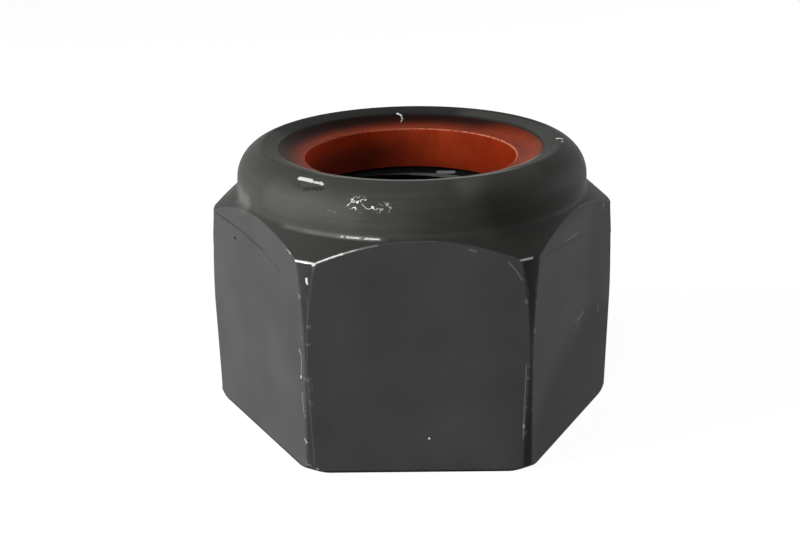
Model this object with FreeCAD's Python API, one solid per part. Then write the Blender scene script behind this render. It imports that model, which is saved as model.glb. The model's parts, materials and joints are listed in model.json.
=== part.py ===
"""Hexagon lock nut for the U-bolts of a truck leaf spring, M24 x 3, high form.

Two pieces: a forged and turned steel body, and a soft locking ring that sits in a
cavity above the thread. After the ring is dropped in, the thin collar round the
cavity is rolled inwards over it, so the ring can't come out.

Millimetres. The origin is the centre of the bearing face, +Z is the thread axis
towards the collar, and two corners of the hexagon lie on the X axis.
"""
import FreeCAD
import Part
import math
import os

# Thread
THREAD_DIAMETER = 24.0
THREAD_PITCH = 3.0
SINK_OVER_THREAD = 0.6
SINK_ANGLE = 120.0

# Hexagon
ACROSS_FLATS = 36.0
NUT_HEIGHT = 28.0
EDGE_ROUND = 0.3
CHAMFER_ANGLE = 41.0
CORNER_LOSS_ABOVE = 0.7
CORNER_LOSS_BELOW = 0.4
BEARING_EDGE_WIDTH = 0.55
BEARING_EDGE_HEIGHT = 0.6

# Collar, and the lip rolled over the ring
COLLAR_HEIGHT = 4.9
COLLAR_STEP = 0.4
COLLAR_WALL = 2.0
COLLAR_SHOULDER_ROUND = 3.4
COLLAR_FOOT_ROUND = 0.8
CAVITY_BEVEL = 1.6
LIP_OVERLAP = 2.35
LIP_THICKNESS = 1.6
LIP_DROP = 0.4

# Locking ring
RING_THICKNESS = 4.3
RING_HOLE_OVER_CREST = 0.27
RING_HOLE_BEVEL = 0.3

# Radii and heights that follow from the sizes above
MINOR_RADIUS = THREAD_DIAMETER / 2 - 5 / 8 * math.sqrt(3) / 2 * THREAD_PITCH
SINK_RADIUS = THREAD_DIAMETER / 2 + SINK_OVER_THREAD
FLAT_RADIUS = ACROSS_FLATS / 2
CORNER_RADIUS = FLAT_RADIUS / math.cos(math.radians(30))
COLLAR_RADIUS = FLAT_RADIUS - COLLAR_STEP
CAVITY_RADIUS = COLLAR_RADIUS - COLLAR_WALL
LIP_RADIUS = CAVITY_RADIUS - LIP_OVERLAP
RING_HOLE_RADIUS = MINOR_RADIUS + RING_HOLE_OVER_CREST
HEX_TOP = NUT_HEIGHT - COLLAR_HEIGHT
RING_TOP = NUT_HEIGHT - LIP_THICKNESS
SEAT_HEIGHT = RING_TOP - RING_THICKNESS

UP = FreeCAD.Vector(0, 0, 1)
ORIGIN = FreeCAD.Vector(0, 0, 0)


def at(radius, height):
    """A point of a section, which lies in the XZ plane."""
    return FreeCAD.Vector(radius, 0, height)


def line(start, end):
    return Part.LineSegment(start, end).toShape()


def path(*points):
    """Straight edges from point to point."""
    return [line(a, b) for a, b in zip(points, points[1:])]


def arc(start, centre, end):
    """The shorter arc from start to end about a centre."""
    middle = (start - centre).normalize() + (end - centre).normalize()
    radius = (start - centre).Length
    return Part.Arc(start, centre + middle.normalize() * radius, end).toShape()


def turned(edges):
    """The solid of revolution of a closed section, with its seam at the back."""
    section = Part.Face(Part.Wire(edges))
    solid = section.revolve(ORIGIN, UP, 360)
    solid.rotate(ORIGIN, UP, 90)
    return solid


def bore_edges():
    """From the bearing face, up the countersink and the bore, and out across the ring's seat."""
    sink_depth = (SINK_RADIUS - MINOR_RADIUS) / math.tan(math.radians(SINK_ANGLE / 2))
    return path(
        at(SINK_RADIUS, 0),
        at(MINOR_RADIUS, sink_depth),
        at(MINOR_RADIUS, SEAT_HEIGHT),
        at(CAVITY_RADIUS, SEAT_HEIGHT),
    )


def cavity_edges():
    """Up the cavity's wall and over its bevel, where the rolled wall bends inwards."""
    return path(
        at(CAVITY_RADIUS, SEAT_HEIGHT),
        at(CAVITY_RADIUS, RING_TOP - CAVITY_BEVEL),
        at(CAVITY_RADIUS - CAVITY_BEVEL, RING_TOP),
    )


def lip_edges():
    """In under the lip, up its inner end, out over its top and round the shoulder."""
    apex = at(COLLAR_RADIUS - COLLAR_SHOULDER_ROUND, NUT_HEIGHT)
    shoulder_centre = apex - UP * COLLAR_SHOULDER_ROUND
    edges = path(
        at(CAVITY_RADIUS - CAVITY_BEVEL, RING_TOP),
        at(LIP_RADIUS, RING_TOP),
        at(LIP_RADIUS, NUT_HEIGHT - LIP_DROP),
        apex,
    )
    edges.append(arc(apex, shoulder_centre, shoulder_centre + at(COLLAR_SHOULDER_ROUND, 0)))
    return edges


def foot_edges():
    """Down the collar's side, round its foot and down the chamfer to the corners."""
    slope = math.radians(CHAMFER_ANGLE)
    foot_height = HEX_TOP + COLLAR_STEP * math.tan(slope)
    reach = COLLAR_FOOT_ROUND * math.tan((math.pi / 2 - slope) / 2)
    high = at(COLLAR_RADIUS, foot_height + reach)
    low = at(COLLAR_RADIUS + reach * math.cos(slope), foot_height - reach * math.sin(slope))
    return [
        line(at(COLLAR_RADIUS, NUT_HEIGHT - COLLAR_SHOULDER_ROUND), high),
        arc(high, high + at(COLLAR_FOOT_ROUND, 0), low),
        line(low, corner_top()),
    ]


def corner_top():
    """Where the chamfer meets the corners, which the forging leaves a little short."""
    radius = CORNER_RADIUS - CORNER_LOSS_ABOVE
    drop = (radius - FLAT_RADIUS) * math.tan(math.radians(CHAMFER_ANGLE))
    return at(radius, HEX_TOP - drop)


def corner_edges():
    """Down the corners, full at mid-height and short at both ends, and in across the bearing face."""
    high = corner_top()
    low = at(CORNER_RADIUS - CORNER_LOSS_BELOW, BEARING_EDGE_HEIGHT)
    waist = at(CORNER_RADIUS, (high.z + low.z) / 2)
    # the upper arc leaves the waist upright and reaches the chamfer with the loss above
    bulge = ((high.z - waist.z) ** 2 + CORNER_LOSS_ABOVE ** 2) / (2 * CORNER_LOSS_ABOVE)
    edges = [arc(high, waist - at(bulge, 0), waist)]
    return edges + path(waist, low, at(low.x - BEARING_EDGE_WIDTH, 0), at(SINK_RADIUS, 0))


def hexagon():
    """The wrenching hexagon as a prism with its upright edges rounded."""
    corners = []
    for k in range(7):
        turn = math.radians(60 * k)
        corners.append(FreeCAD.Vector(CORNER_RADIUS * math.cos(turn), CORNER_RADIUS * math.sin(turn), 0))
    prism = Part.Face(Part.makePolygon(corners)).extrude(UP * NUT_HEIGHT)
    uprights = [edge for edge in prism.Edges if abs(edge.tangentAt(edge.FirstParameter).z) > 0.5]
    return prism.makeFillet(EDGE_ROUND, uprights)


def nut_body():
    """The turned blank with six flats, in one piece with its collar and rolled lip."""
    blank = turned(bore_edges() + cavity_edges() + lip_edges() + foot_edges() + corner_edges())
    return blank.common(hexagon())


def locking_ring():
    """The soft ring, which fills the cavity and reaches in past the thread's flanks."""
    top = path(
        at(CAVITY_RADIUS - CAVITY_BEVEL, RING_TOP),
        at(RING_HOLE_RADIUS + RING_HOLE_BEVEL, RING_TOP),
        at(RING_HOLE_RADIUS, RING_TOP - RING_HOLE_BEVEL),
        at(RING_HOLE_RADIUS, SEAT_HEIGHT),
        at(CAVITY_RADIUS, SEAT_HEIGHT),
    )
    return turned(cavity_edges() + top)


def write(name, shape):
    solid = shape.Solids[0]
    box = solid.optimalBoundingBox(False, False)
    print(f"{name}: valid {solid.isValid()}, {len(shape.Solids)} solid, {len(solid.Faces)} faces,",
          f"{solid.Volume:.1f} mm3, {box.XLength:.2f} x {box.YLength:.2f} x {box.ZLength:.2f} mm")
    solid.exportStep(f"parts/{name}.step")


os.makedirs("parts", exist_ok=True)
write("nut_body", nut_body())
write("locking_ring", locking_ring())
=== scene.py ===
# %% [markdown]
# # A locking nut for a leaf spring
# A leaf spring is held to its axle by U-shaped bolts, and a tall hexagon nut closes each of them. A ring of
# soft plastic sits in a collar on the nut's top, and the collar's lip was rolled over it. The bolt's thread
# has to cut its way through that ring, so the nut can't shake loose.
#
# The solid model of the nut is loaded first and stays where it is. Blender only gives it its looks: rounded
# edges, a thread, a dark coating worn bright in places, painted highlights and shade, and a studio.

# %% The model is loaded as the frame
import json
import math

import bpy
from mathutils import Matrix, Vector

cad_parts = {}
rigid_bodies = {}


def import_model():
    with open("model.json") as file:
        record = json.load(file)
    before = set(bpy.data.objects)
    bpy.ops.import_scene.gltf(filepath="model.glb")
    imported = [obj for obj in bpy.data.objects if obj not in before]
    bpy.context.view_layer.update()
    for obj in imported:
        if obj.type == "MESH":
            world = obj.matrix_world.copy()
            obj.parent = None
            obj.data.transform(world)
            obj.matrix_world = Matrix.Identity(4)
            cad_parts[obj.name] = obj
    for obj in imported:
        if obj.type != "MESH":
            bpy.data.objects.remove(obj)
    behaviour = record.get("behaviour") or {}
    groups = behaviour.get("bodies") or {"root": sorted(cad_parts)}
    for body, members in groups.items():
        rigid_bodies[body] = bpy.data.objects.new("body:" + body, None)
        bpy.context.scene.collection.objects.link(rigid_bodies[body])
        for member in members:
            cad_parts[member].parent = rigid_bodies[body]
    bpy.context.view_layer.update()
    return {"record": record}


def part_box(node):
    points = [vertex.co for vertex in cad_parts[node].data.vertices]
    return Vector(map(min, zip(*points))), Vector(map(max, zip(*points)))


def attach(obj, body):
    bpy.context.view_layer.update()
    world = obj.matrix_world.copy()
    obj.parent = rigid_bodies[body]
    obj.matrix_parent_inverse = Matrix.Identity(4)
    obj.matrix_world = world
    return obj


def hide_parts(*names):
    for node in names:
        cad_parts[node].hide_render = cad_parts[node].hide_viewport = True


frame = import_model()

# %% [markdown]
# Everything is in metres, so a size in millimetres is multiplied by MM. The main sizes are measured on the
# loaded pieces, so the new meshes always fit them. Only what those pieces don't say is written here.

# %% Sizes measured on the loaded pieces
MM = 0.001
_, body_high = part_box("nut_body")
ring_low, ring_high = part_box("locking_ring")
FLAT = body_high.y
TOP = body_high.z
RING_RADIUS = ring_high.x
RING_TOP = ring_high.z
SEAT = ring_low.z
thread_mount = next(m for m in frame["record"]["mounts"] if m["name"] == "thread")
THREAD_CREST = thread_mount["dims"]["r_mm"] * MM
THREAD_LOW = SEAT - thread_mount["dims"]["length_mm"] * MM
CORNER = FLAT / math.cos(math.radians(30))
print(f"across flats {2 * FLAT / MM:.1f} mm, height {TOP / MM:.1f} mm, crest {THREAD_CREST / MM:.2f} mm")

# %% [markdown]
# The camera comes next, because every later choice is judged through it. It stands a little left of the
# front flat and looks down by about 19 degrees. The picture is a cut-out of a larger one, so the lens's
# axis isn't in its middle, and the camera's shift gives that.

# %% The camera
IMAGE_WIDTH = 800
FOCAL_LENGTH = 1240.9
SENSOR = 36.0
DISTANCE = 129.66 * MM
AIM_HEIGHT = 16.2 * MM
ELEVATION = math.radians(19.22)
AZIMUTH = math.radians(-2.01)
HEADING = math.radians(4.89)
PITCH = math.radians(18.82)
ROLL = math.radians(-1.99)
SHIFT = (90, -36)
NEAREST = 5 * MM

camera_data = bpy.data.cameras.new("camera")
camera_data.sensor_width = SENSOR
camera_data.lens = FOCAL_LENGTH / IMAGE_WIDTH * SENSOR
camera_data.shift_x = SHIFT[0] / IMAGE_WIDTH
camera_data.shift_y = SHIFT[1] / IMAGE_WIDTH
camera_data.clip_start = NEAREST
camera = bpy.data.objects.new("camera", camera_data)
bpy.context.scene.collection.objects.link(camera)
place = Vector((0, -DISTANCE * math.cos(ELEVATION), DISTANCE * math.sin(ELEVATION) + AIM_HEIGHT))
turn_to_front = Matrix.Rotation(AZIMUTH, 4, "Z")
tilt = Matrix.Rotation(math.radians(90) - PITCH, 4, "X")
swing = Matrix.Rotation(HEADING, 4, "Z")
roll = Matrix.Rotation(ROLL, 4, "Z")
camera.matrix_world = turn_to_front @ Matrix.Translation(place) @ swing @ tilt @ roll
bpy.context.scene.camera = camera
print(f"lens {camera_data.lens:.1f} mm")

# %% [markdown]
# ## The outline pen
# The nut was turned on a lathe before its flats were cut, so its body is drawn as half of a cross-section
# and spun round the axis. The pen below draws such an outline as by hand: one vertex, extruded for each
# straight run and spun for each arc.

# %% A pen that draws an outline in the plane of radius and height
SAME_SPOT = 0.002 * MM


def deselect_all():
    bpy.ops.object.select_all(action="DESELECT")


class Pen:
    """Draws an outline as one wire: x is the radius and z the height."""

    def __init__(self, name, radius, height):
        deselect_all()
        bpy.ops.mesh.primitive_plane_add(size=MM)
        self.piece = bpy.context.object
        self.piece.name = name
        bpy.ops.object.mode_set(mode="EDIT")
        bpy.ops.mesh.select_mode(type="VERT")
        bpy.ops.mesh.select_all(action="SELECT")
        bpy.ops.mesh.merge(type="CENTER")
        bpy.ops.transform.translate(value=(radius, 0, height))
        self.spot = (radius, height)

    def line(self, radius, height):
        step = (radius - self.spot[0], 0, height - self.spot[1])
        bpy.ops.mesh.extrude_vertices_move(TRANSFORM_OT_translate={"value": step})
        self.spot = (radius, height)

    def arc(self, centre_radius, centre_height, degrees, steps):
        """Turns round a centre; positive degrees run anticlockwise, with the axis on the left."""
        angle = math.radians(degrees)
        centre = (centre_radius, 0, centre_height)
        bpy.ops.mesh.spin(steps=steps, angle=angle, center=centre, axis=(0, 1, 0))
        dx, dz = self.spot[0] - centre_radius, self.spot[1] - centre_height
        self.spot = (
            centre_radius + dx * math.cos(angle) - dz * math.sin(angle),
            centre_height + dx * math.sin(angle) + dz * math.cos(angle),
        )

    def lathe(self, steps):
        """Spins the whole outline round the upright axis and closes the seam."""
        bpy.ops.mesh.select_all(action="SELECT")
        bpy.ops.mesh.spin(steps=steps, angle=math.tau, center=(0, 0, 0), axis=(0, 0, 1))
        bpy.ops.mesh.select_all(action="SELECT")
        bpy.ops.mesh.remove_doubles(threshold=SAME_SPOT)
        bpy.ops.mesh.normals_make_consistent(inside=False)
        bpy.ops.object.mode_set(mode="OBJECT")
        return self.piece


# %% [markdown]
# ## The turned blank
# The outline runs outwards along the seat face, up the side, over the collar, down inside it and back
# through the bore. The side is widest at its waist and falls in a little above it, as a forging does. It
# stays just inside the hexagon's sharp corners, and that leaves a narrow strip along every corner. The
# chamfer on top, the hollow at the collar's foot and the round shoulder follow the loaded solid. The
# shoulder ends in a small crown, and from there the rolled lip falls inwards.

# %% The turned blank of the nut
BEARING_ROUND = 0.7 * MM
BEARING_RADIUS = 20.52 * MM
WAIST = (CORNER - 0.05 * MM, 10.94 * MM)
CORNER_TOP = (20.25 * MM, 21.15 * MM)
CHAMFER_TOP = (17.875 * MM, 23.21 * MM)
COLLAR_RADIUS = FLAT - 0.4 * MM
COLLAR_FOOT = 0.8 * MM
COLLAR_SIDE = (23.81 * MM, 24.6 * MM)
SHOULDER = 3.4 * MM
SHOULDER_TURN = 72
CROWN = 0.8 * MM
LIP_FALL = 15
LIP_RADIUS = 13.25 * MM
LIP_UNDERSIDE = 14.0 * MM
SEAT_SINK = 11.7 * MM
THREAD_ROOT = 12.6 * MM
SINK_SLOPE = math.tan(math.radians(30))
LATHE_STEPS = 288


def side_arc():
    """Radius of the side's arc, which stands upright at the waist, and the angle up to the corner's top."""
    rise = CORNER_TOP[1] - WAIST[1]
    fall = WAIST[0] - CORNER_TOP[0]
    radius = (rise * rise + fall * fall) / (2 * fall)
    return radius, math.degrees(math.asin(rise / radius))


def crown_centre():
    turn = math.radians(SHOULDER_TURN)
    reach = SHOULDER - CROWN
    return COLLAR_RADIUS - SHOULDER + reach * math.cos(turn), COLLAR_SIDE[1] + reach * math.sin(turn)


def lip_edge():
    """The lip's inner edge, where the slope that leaves the crown reaches the lip's radius."""
    fall = math.radians(LIP_FALL)
    radius, height = crown_centre()
    radius, height = radius - CROWN * math.sin(fall), height + CROWN * math.cos(fall)
    return LIP_RADIUS, height - (radius - LIP_RADIUS) * math.tan(fall)


LIP = lip_edge()


def turned_blank():
    pen = Pen("nut_body_visual", THREAD_ROOT, 0)
    pen.line(BEARING_RADIUS - BEARING_ROUND, 0)
    pen.arc(BEARING_RADIUS - BEARING_ROUND, BEARING_ROUND, 90, steps=6)
    pen.line(*WAIST)
    radius, angle = side_arc()
    pen.arc(WAIST[0] - radius, WAIST[1], angle, steps=12)
    pen.line(*CHAMFER_TOP)
    foot_centre = (COLLAR_RADIUS + COLLAR_FOOT, COLLAR_SIDE[0])
    start = math.degrees(math.atan2(CHAMFER_TOP[1] - foot_centre[1], CHAMFER_TOP[0] - foot_centre[0]))
    pen.arc(*foot_centre, -180 - start, steps=8)
    pen.line(COLLAR_RADIUS, COLLAR_SIDE[1])
    pen.arc(COLLAR_RADIUS - SHOULDER, COLLAR_SIDE[1], SHOULDER_TURN, steps=20)
    pen.arc(*crown_centre(), 90 + LIP_FALL - SHOULDER_TURN, steps=8)
    pen.line(*LIP)
    pen.line(LIP[0], RING_TOP)
    pen.line(LIP_UNDERSIDE, RING_TOP)
    pen.line(RING_RADIUS, RING_TOP - (RING_RADIUS - LIP_UNDERSIDE))
    pen.line(RING_RADIUS, SEAT)
    pen.line(SEAT_SINK, SEAT)
    pen.line(THREAD_CREST, SEAT - (SEAT_SINK - THREAD_CREST) * SINK_SLOPE)
    pen.line(THREAD_CREST, THREAD_LOW)
    pen.line(THREAD_ROOT, 0)
    return pen.lathe(LATHE_STEPS)


nut = turned_blank()
print("blank", len(nut.data.vertices), "vertices")

# %% [markdown]
# ## The thread
# A thread is cut with a tap, and the same is done here. The tap is one groove's outline, swept along a
# helix by the screw modifier: 3 mm of rise for each turn, right-handed. It gets two turns too many at each
# end, is trimmed flat there and then taken away from the nut with a boolean. It starts a little low, so
# that the thread's first crest comes out of the countersink at the back, as it does on the real nut.

# %% The tap, and the thread it cuts
PITCH_OF_THREAD = 3.0 * MM
MAJOR_RADIUS = 12.0 * MM
ROOT_FLAT = PITCH_OF_THREAD / 8
FLANK = math.tan(math.radians(30))
TAP_STEPS = 96
TURNS_OVER = 2
TAP_RUN = 2.0 * MM
TAP_OFFSET = -0.18 * MM
CUT_THRESHOLD = 0.001 * MM


def cut_away(spot, outwards):
    """Cuts all that is selected with a plane, clears what lies outwards of it and fills the opening."""
    bpy.ops.mesh.select_all(action="SELECT")
    bpy.ops.mesh.bisect(
        plane_co=spot, plane_no=outwards, use_fill=True, clear_outer=True, threshold=CUT_THRESHOLD
    )


def make_tap():
    depth = (PITCH_OF_THREAD - ROOT_FLAT) / 2 / FLANK
    start = TAP_OFFSET - TURNS_OVER * PITCH_OF_THREAD
    pen = Pen("tap", MAJOR_RADIUS - depth, start)
    pen.line(MAJOR_RADIUS, start + (PITCH_OF_THREAD - ROOT_FLAT) / 2)
    pen.line(MAJOR_RADIUS, start + (PITCH_OF_THREAD + ROOT_FLAT) / 2)
    pen.line(MAJOR_RADIUS - depth, start + PITCH_OF_THREAD)
    bpy.ops.object.mode_set(mode="OBJECT")
    screw = pen.piece.modifiers.new("helix", "SCREW")
    screw.axis = "Z"
    screw.screw_offset = PITCH_OF_THREAD
    screw.iterations = math.ceil(SEAT / PITCH_OF_THREAD) + 2 * TURNS_OVER
    screw.steps = TAP_STEPS
    screw.render_steps = TAP_STEPS
    screw.use_merge_vertices = True
    screw.merge_threshold = SAME_SPOT
    bpy.ops.object.modifier_apply(modifier="helix")
    bpy.ops.object.mode_set(mode="EDIT")
    cut_away((0, 0, -TAP_RUN), (0, 0, -1))
    cut_away((0, 0, SEAT + TAP_RUN), (0, 0, 1))
    bpy.ops.mesh.select_all(action="SELECT")
    bpy.ops.mesh.remove_doubles(threshold=SAME_SPOT)
    bpy.ops.mesh.normals_make_consistent(inside=False)
    bpy.ops.object.mode_set(mode="OBJECT")
    return pen.piece


def activate(piece):
    deselect_all()
    piece.select_set(True)
    bpy.context.view_layer.objects.active = piece


tap = make_tap()
activate(nut)
cut = nut.modifiers.new("tapping", "BOOLEAN")
cut.operation = "DIFFERENCE"
cut.solver = "EXACT"
cut.object = tap
bpy.ops.object.modifier_apply(modifier="tapping")
bpy.data.objects.remove(tap)
print("tapped nut", len(nut.data.polygons), "faces")

# %% [markdown]
# ## Six flats
# Each flat is one straight cut, made here with the bisect tool: what lies outside the cut is cleared away
# and the opening is filled with one flat face. Where the cut meets the chamfer it leaves the curved edge
# that every hexagon nut has, with no drawing of that curve.

# %% The six flats are cut
SLIVER_EDGE = 0.004 * MM
activate(nut)
bpy.ops.object.mode_set(mode="EDIT")
flat_angles = [math.radians(30 + 60 * i) for i in range(6)]
for flat_angle in flat_angles:
    side = Vector((math.cos(flat_angle), math.sin(flat_angle), 0))
    cut_away(side * FLAT, side)
bpy.ops.mesh.select_all(action="SELECT")
bpy.ops.mesh.remove_doubles(threshold=SLIVER_EDGE)
bpy.ops.object.mode_set(mode="OBJECT")
print("hexagon", len(nut.data.polygons), "faces")

# %% [markdown]
# ## Soft edges
# No edge on a forged nut is knife sharp. The bevel tool would be the usual way, but the strips at the
# corners get very narrow, and a bevel trips over its own edges there. So each flat is inset twice instead,
# and its outer rings are drawn a little towards the axis. That rounds the edge from the flat's side alone.
# Very short edges are merged first, because an inset turns them over.

# %% The flats' borders are rounded
SHORTEST_EDGE = 0.1 * MM
EDGE_WIDTH = 0.08 * MM
RING_DROPS = (0.0, 0.012 * MM, 0.05 * MM)
TOLERANCE = 0.01 * MM
WHOLE_FLAT = 100 * MM * MM
TILT_TOLERANCE = 0.001


def select_faces(piece, wanted):
    bpy.ops.object.mode_set(mode="EDIT")
    bpy.ops.mesh.select_mode(type="FACE")
    bpy.ops.mesh.select_all(action="DESELECT")
    bpy.ops.object.mode_set(mode="OBJECT")
    for face in piece.data.polygons:
        face.select = wanted(face)
    bpy.ops.object.mode_set(mode="EDIT")


def is_flat(face):
    upright = abs(face.normal.z) < TILT_TOLERANCE
    return upright and face.area > WHOLE_FLAT and abs(face.center.xy.length - FLAT) < TOLERANCE


def draw_in(ring, distance):
    """Draws a ring of edges round each flat towards the axis; ring 0 is the innermost."""
    select_faces(nut, is_flat)
    for _ in range(ring):
        bpy.ops.mesh.select_more()
    bpy.ops.mesh.region_to_loop()
    scale = 1 - distance / CORNER
    bpy.ops.transform.resize(value=(scale, scale, 1), center_override=(0, 0, 0))
    bpy.ops.object.mode_set(mode="OBJECT")


select_faces(nut, is_flat)
bpy.ops.mesh.region_to_loop()
bpy.ops.mesh.remove_doubles(threshold=SHORTEST_EDGE)
select_faces(nut, is_flat)
for _ in RING_DROPS[1:]:
    bpy.ops.mesh.inset(thickness=EDGE_WIDTH, use_even_offset=True)
bpy.ops.object.mode_set(mode="OBJECT")
for ring_number, drop in enumerate(RING_DROPS):
    if drop:
        draw_in(ring_number, drop)
print("flats with soft borders", sum(map(is_flat, nut.data.polygons)))

# %% [markdown]
# The rolled lip's inner rim is round as well. It has plenty of room, so it takes a plain bevel.

# %% The lip's inner rim is bevelled
LIP_SOFTNESS = 0.2 * MM
LIP_SEGMENTS = 4


def select_edges(piece, wanted):
    bpy.ops.object.mode_set(mode="EDIT")
    bpy.ops.mesh.select_mode(type="EDGE")
    bpy.ops.mesh.select_all(action="DESELECT")
    bpy.ops.object.mode_set(mode="OBJECT")
    points = piece.data.vertices
    for edge in piece.data.edges:
        edge.select = all(wanted(points[i].co) for i in edge.vertices)
    bpy.ops.object.mode_set(mode="EDIT")


def at_lip(point):
    return abs(point.xy.length - LIP[0]) < TOLERANCE and abs(point.z - LIP[1]) < TOLERANCE


select_edges(nut, at_lip)
bpy.ops.mesh.bevel(offset=LIP_SOFTNESS, segments=LIP_SEGMENTS, affect="EDGES", clamp_overlap=True)
bpy.ops.object.mode_set(mode="OBJECT")
print("soft edges", len(nut.data.polygons), "faces")

# %% [markdown]
# A turned face is smooth to the eye, and a cut edge is not. So the shading runs on over shallow angles and
# breaks at steep ones, and weighted normals keep the large faces flat next to their narrow borders. The
# piece then rides on the part's one body, in place of the loaded node.

# %% Smooth where round, sharp where cut
SHARP_ANGLE = math.radians(20)
bpy.ops.object.shade_smooth_by_angle(angle=SHARP_ANGLE)
weights = nut.modifiers.new("flat_faces", "WEIGHTED_NORMAL")
weights.keep_sharp = True
bpy.ops.object.modifier_apply(modifier="flat_faces")
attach(nut, "root")
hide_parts("nut_body")
print("nut", len(nut.data.vertices), "vertices")

# %% [markdown]
# ## The locking ring
# The ring is a moulded washer of plastic. Its hole is a little wider than the thread's crest, with a small
# round at the top edge that catches the light. The rolled lip presses on its rim, so its top is hollow like
# a dish and stands up against the lip.

# %% The ring, drawn and spun in the same way
RING_HOLE = THREAD_CREST + 0.27 * MM
RING_ROUND = 0.3 * MM
DISH_RISE = 0.85 * MM
DISH_EDGE = LIP_RADIUS - 0.01 * MM


def dish_arc(width):
    """Radius of the dish's arc, which starts level at the hole, and its angle in degrees."""
    radius = (width * width + DISH_RISE * DISH_RISE) / (2 * DISH_RISE)
    return radius, math.degrees(math.asin(width / radius))


def locking_ring():
    pen = Pen("locking_ring_visual", RING_HOLE, SEAT)
    pen.line(RING_HOLE, RING_TOP - RING_ROUND)
    pen.arc(RING_HOLE + RING_ROUND, RING_TOP - RING_ROUND, -90, steps=6)
    radius, angle = dish_arc(DISH_EDGE - pen.spot[0])
    pen.arc(pen.spot[0], RING_TOP + radius, angle, steps=10)
    pen.line(DISH_EDGE, RING_TOP)
    pen.line(LIP_UNDERSIDE, RING_TOP)
    pen.line(RING_RADIUS, RING_TOP - (RING_RADIUS - LIP_UNDERSIDE))
    pen.line(RING_RADIUS, SEAT)
    pen.line(RING_HOLE, SEAT)
    return pen.lathe(LATHE_STEPS)


ring = locking_ring()
bpy.ops.object.shade_smooth_by_angle(angle=SHARP_ANGLE)
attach(ring, "root")
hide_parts("locking_ring")
print("ring", len(ring.data.polygons), "faces")

# %% [markdown]
# ## Materials
# The nut's coat is a dark, dull grey. It is drawn with masks: numbers between 0 and 1 that say how much of
# an effect lies on a spot. A few short helpers keep the node trees readable.

# %% Helpers that wire nodes
FIRST_COLOUR = 6
SECOND_COLOUR = 7
MIXED_COLOUR = 2


def put(tree, socket, value):
    """Links a socket to another one, or types a plain value into it."""
    if isinstance(value, bpy.types.NodeSocket):
        tree.links.new(value, socket)
    else:
        socket.default_value = value


def add(tree, kind, *values, **settings):
    node = tree.nodes.new(kind)
    for name, setting in settings.items():
        setattr(node, name, setting)
    for socket, value in zip(node.inputs, values):
        put(tree, socket, value)
    return node


def number(tree, operation, *values):
    return add(tree, "ShaderNodeMath", *values, operation=operation).outputs[0]


def vector(tree, operation, *values):
    node = add(tree, "ShaderNodeVectorMath", *values, operation=operation)
    plain_number = operation in ("DOT_PRODUCT", "LENGTH")
    return node.outputs["Value" if plain_number else "Vector"]


def diagonal(tree, across, up):
    """How long a step is that goes across and up."""
    return vector(tree, "LENGTH", add(tree, "ShaderNodeCombineXYZ", across, up, 0.0).outputs[0])


def total(tree, operation, values):
    """Runs one operation over many values, such as the largest of many masks."""
    result = values[0]
    for value in values[1:]:
        result = number(tree, operation, result, value)
    return result


def ramp(tree, value, none, full):
    """A soft mask: 0 where the value is at none and 1 where it is at full."""
    return add(tree, "ShaderNodeMapRange", value, none, full, interpolation_type="SMOOTHSTEP").outputs[0]


def blend(tree, mask, first, second):
    """Mixes two colours, whose sockets come after the mix node's sockets for numbers and vectors."""
    node = tree.nodes.new("ShaderNodeMix")
    node.data_type = "RGBA"
    put(tree, node.inputs[0], mask)
    put(tree, node.inputs[FIRST_COLOUR], first)
    put(tree, node.inputs[SECOND_COLOUR], second)
    return node.outputs[MIXED_COLOUR]


def noise(tree, point, scale, detail=2.0, roughness=0.5):
    node = tree.nodes.new("ShaderNodeTexNoise")
    put(tree, node.inputs["Vector"], point)
    put(tree, node.inputs["Scale"], scale)
    put(tree, node.inputs["Detail"], detail)
    put(tree, node.inputs["Roughness"], roughness)
    return node.outputs[0]


def split(tree, point):
    return add(tree, "ShaderNodeSeparateXYZ", point).outputs


# %% [markdown]
# What many marks need alike is built once, as a node group. A group is used in a tree as one node.

# %% Helpers that build and use node groups
VECTOR = "NodeSocketVector"
NUMBER = "NodeSocketFloat"


def new_group(name, inputs, outputs):
    """A node group whose inputs and outputs are given as name and kind."""
    group = bpy.data.node_groups.new(name, "ShaderNodeTree")
    for title, kind in inputs.items():
        group.interface.new_socket(title, in_out="INPUT", socket_type=kind)
    for title, kind in outputs.items():
        group.interface.new_socket(title, in_out="OUTPUT", socket_type=kind)
    start = group.nodes.new("NodeGroupInput")
    end = group.nodes.new("NodeGroupOutput")
    return group, start.outputs, end.inputs


def use(tree, group, *values):
    return add(tree, "ShaderNodeGroup", *values, node_tree=group).outputs


# %% [markdown]
# The spot on the piece is its place in millimetres. One group finds how far that spot is from the nearest
# edge of the hexagon. It knows two gaps: to the six flats, and to the turned surface that the flats cut. A
# spot on the skin has one of them at zero, and on an edge both are, so the larger of the two is what
# counts.

# %% How far a spot is from the flats, from the edges and from the axis
SHAPE_OUTPUTS = {"Flat gap": NUMBER, "Edge": NUMBER, "Radius": NUMBER, "Height": NUMBER}


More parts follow.
